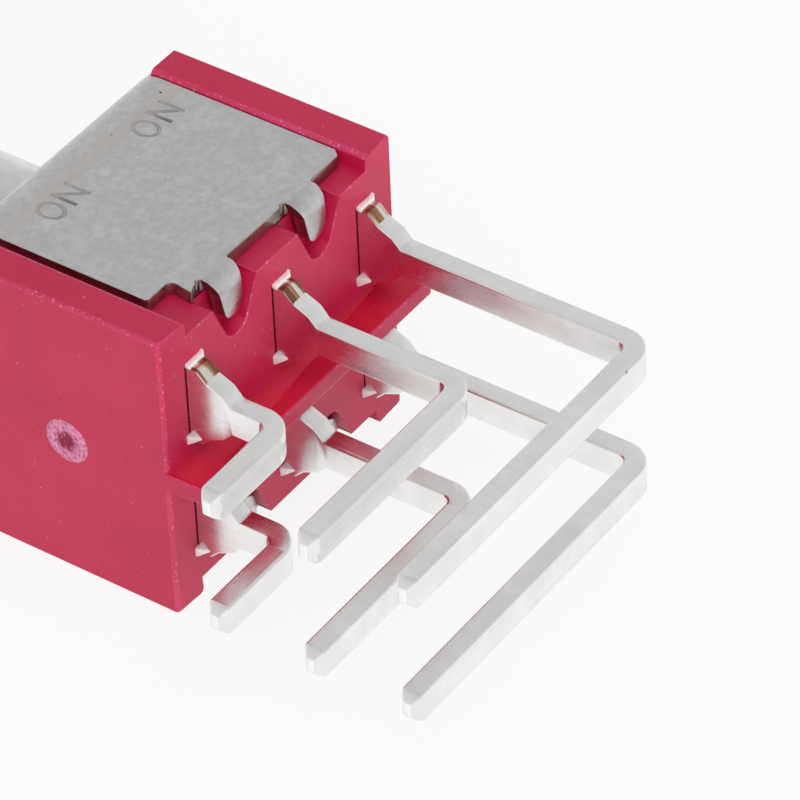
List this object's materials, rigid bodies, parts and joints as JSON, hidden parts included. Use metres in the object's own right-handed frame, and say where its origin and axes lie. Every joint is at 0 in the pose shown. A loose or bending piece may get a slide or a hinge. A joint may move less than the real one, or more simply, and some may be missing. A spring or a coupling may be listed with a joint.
{
  "type": "toggle switch",
  "caption": "Miniature toggle switch: a moulded case in a folded metal frame, with a threaded bushing, a bat lever and right-angle board pins.",
  "frame": {"origin": "on the bushing's axis, in the outer face of the frame's strap, which seats against a panel", "axes": "+Y along the bushing towards the lever's tip, +X along the lever's throw and the row of terminals, away from the board that the pins reach, +Z out of the lettered side plate"},
  "size_m": [0.0151, 0.0397, 0.0114],
  "materials": {
    "case": "satin",
    "frame": "satin",
    "bushing": "satin nickel plate",
    "lever": "bright nickel plate",
    "steel": "satin",
    "plunger": "matt",
    "terminal": "bright silver plate, bare copper alloy at the sheared roots",
    "blade": "satin",
    "contact": "satin silver"
  },
  "bodies": {
    "housing": {"case": "case", "frame": "frame", "bushing": "bushing", "terminal_a1": "terminal", "terminal_a2": "terminal", "terminal_a3": "terminal", "terminal_b1": "terminal", "terminal_b2": "terminal", "terminal_b3": "terminal", "fixed_contact_a1": "contact", "fixed_contact_a3": "contact", "fixed_contact_b1": "contact", "fixed_contact_b3": "contact"},
    "lever": {"lever": "lever", "pivot_pin": "steel", "plunger_spring": "steel"},
    "plunger": {"plunger": "plunger"},
    "rocker_a": {"rocker_a": "blade", "moving_contact_a1": "contact", "moving_contact_a3": "contact"},
    "rocker_b": {"rocker_b": "blade", "moving_contact_b1": "contact", "moving_contact_b3": "contact"}
  },
  "joints": [
    {"name": "lever_throw", "type": "hinge", "parent": "housing", "child": "lever", "pos_m": [0, 0.005, 0], "axis": [0, 0, 1], "range_deg": [-12.5, 12.5]},
    {"name": "plunger_slide", "type": "slide", "parent": "lever", "child": "plunger", "axis": [0, 1, 0], "range_m": [0, 0.00025], "stiffness_N_per_m": 100, "deforming": ["plunger_spring"]},
    {"name": "rocker_a_tip", "type": "hinge", "parent": "housing", "child": "rocker_a", "pos_m": [0, -0.0068, 0.0024], "axis": [0, 0, 1], "range_deg": [-6, 6]},
    {"name": "rocker_b_tip", "type": "hinge", "parent": "housing", "child": "rocker_b", "pos_m": [0, -0.0068, -0.0024], "axis": [0, 0, 1], "range_deg": [-6, 6]}
  ],
  "couplings": [
    {"joint": "rocker_a_tip", "follows": "lever_throw", "ratio": -0.48},
    {"joint": "rocker_b_tip", "follows": "lever_throw", "ratio": -0.48}
  ]
}
